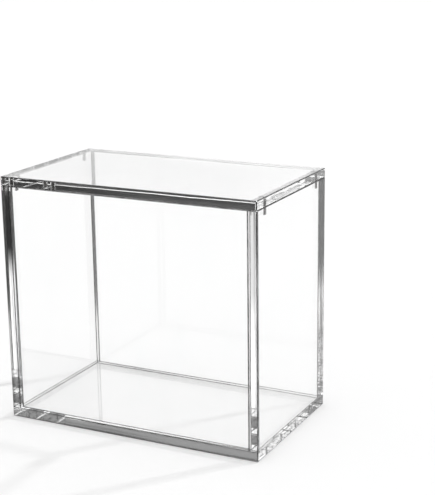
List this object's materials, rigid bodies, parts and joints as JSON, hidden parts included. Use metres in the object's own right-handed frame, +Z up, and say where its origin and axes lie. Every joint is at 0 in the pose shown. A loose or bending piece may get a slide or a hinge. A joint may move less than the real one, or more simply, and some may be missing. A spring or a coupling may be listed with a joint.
{
  "type": "clear display case with a magnetic lid",
  "caption": "Clear open-topped acrylic case for a boxed set of card packs, bonded from flat sheets, with a flat lift-off lid that small magnets hold on the rim.",
  "frame": {"origin": "middle of the base's underside, which the case rests on", "axes": "+X to the case's right along its longest side, +Y to the rear, +Z up; the front faces -Y"},
  "size_m": [0.15, 0.088, 0.136],
  "materials": {
    "case_acrylic": "clear cast acrylic, polished faces and edges",
    "lid_acrylic": "clear cast acrylic, polished faces and edges",
    "magnet_nickel": "dark nickel plating"
  },
  "bodies": {
    "case": {"base_plate": "case_acrylic", "front_wall": "case_acrylic", "rear_wall": "case_acrylic", "left_wall": "case_acrylic", "right_wall": "case_acrylic", "case_magnet_front_left": "magnet_nickel", "case_magnet_rear_left": "magnet_nickel", "case_magnet_front_right": "magnet_nickel", "case_magnet_rear_right": "magnet_nickel"},
    "lid": {"lid_plate": "lid_acrylic", "lid_magnet_front_left": "magnet_nickel", "lid_magnet_rear_left": "magnet_nickel", "lid_magnet_front_right": "magnet_nickel", "lid_magnet_rear_right": "magnet_nickel"}
  },
  "joints": [
    {"name": "lid_lift", "type": "slide", "parent": "case", "child": "lid", "axis": [0, 0, 1], "range_m": [0, 0.036]}
  ]
}
